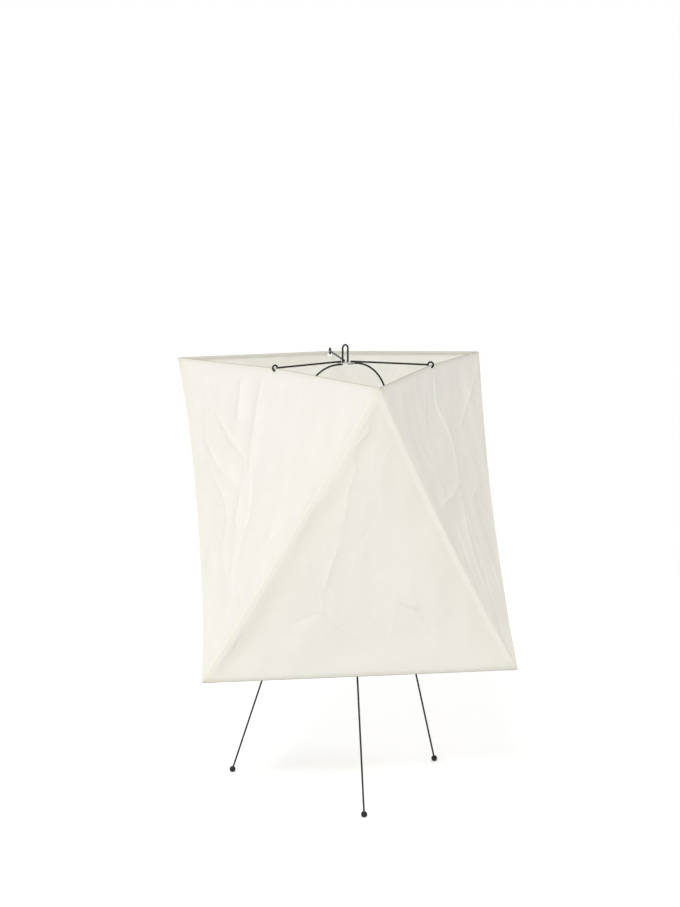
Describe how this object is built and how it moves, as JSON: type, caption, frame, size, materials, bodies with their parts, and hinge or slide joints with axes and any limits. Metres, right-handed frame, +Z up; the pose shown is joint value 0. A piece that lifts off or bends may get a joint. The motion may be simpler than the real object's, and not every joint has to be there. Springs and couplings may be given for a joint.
{
  "type": "paper table lamp",
  "caption": "Faceted paper table lamp: triangular paper panels between wire frames, hung on a wire harp that stands on splayed folding legs.",
  "frame": {"origin": "on the floor, below the hub, at the centre of the circle of the feet", "axes": "+Z up, +X along the harp's plane towards the fixed leg"},
  "size_m": [0.4659, 0.4036, 0.5761],
  "materials": {
    "paper": "handmade paper, matt",
    "frame_wire": "thin enamel",
    "black_wire": "satin black enamel",
    "black_plate": "satin black enamel",
    "steel": "zinc plated",
    "rubber": "moulded rubber",
    "holder": "phenolic moulding",
    "ceramic_insert": "glazed ceramic",
    "brass": "plain brass",
    "opal_glass": "opal",
    "cap_metal": "drawn shell",
    "black_glass": "black vitrite"
  },
  "bodies": {
    "stand": {"harp_rear_arm": "black_wire", "harp_front_arm": "black_wire", "hairpin": "black_wire", "plate": "black_plate", "rear_leg": "black_wire", "rear_foot": "rubber", "washer": "steel", "lower_nut": "steel", "upper_nut": "steel", "nipple": "steel", "cord_bushing": "holder", "holder_base": "holder", "holder_insert": "ceramic_insert", "terminal_screws": "steel", "screw_shell": "brass", "holder_skirt": "holder", "centre_contact": "brass"},
    "left_leg": {"left_leg": "black_wire", "left_leg_loop": "black_wire", "left_foot": "rubber"},
    "front_leg": {"front_leg": "black_wire", "front_leg_loop": "black_wire", "front_foot": "rubber"},
    "bulb": {"bulb_glass": "opal_glass", "bulb_cap": "cap_metal", "bulb_insulator": "black_glass", "bulb_tip": "brass"},
    "shade": {"top_frame": "frame_wire", "bottom_frame": "frame_wire", "rising_panel_rear": "paper", "rising_panel_left": "paper", "rising_panel_front": "paper", "falling_panel_back": "paper", "falling_panel_left": "paper", "falling_panel_right": "paper", "arm_back": "black_wire", "arm_left": "black_wire", "arm_right": "black_wire", "hub_disc": "steel"}
  },
  "joints": [
    {"name": "shade_lift", "type": "slide", "parent": "stand", "child": "shade", "axis": [0, 0, 1], "range_m": [0, 0.412]},
    {"name": "left_leg_fold", "type": "hinge", "parent": "stand", "child": "left_leg", "pos_m": [0, 0, 0.22468], "axis": [0, 0, 1], "range_deg": [-110, 0]},
    {"name": "front_leg_fold", "type": "hinge", "parent": "stand", "child": "front_leg", "pos_m": [0, 0, 0.22216], "axis": [0, 0, 1], "range_deg": [0, 110]},
    {"name": "bulb_turn", "type": "hinge", "parent": "stand", "child": "bulb", "pos_m": [0, 0, 0.272], "axis": [0, 0, 1], "continuous": true}
  ]
}
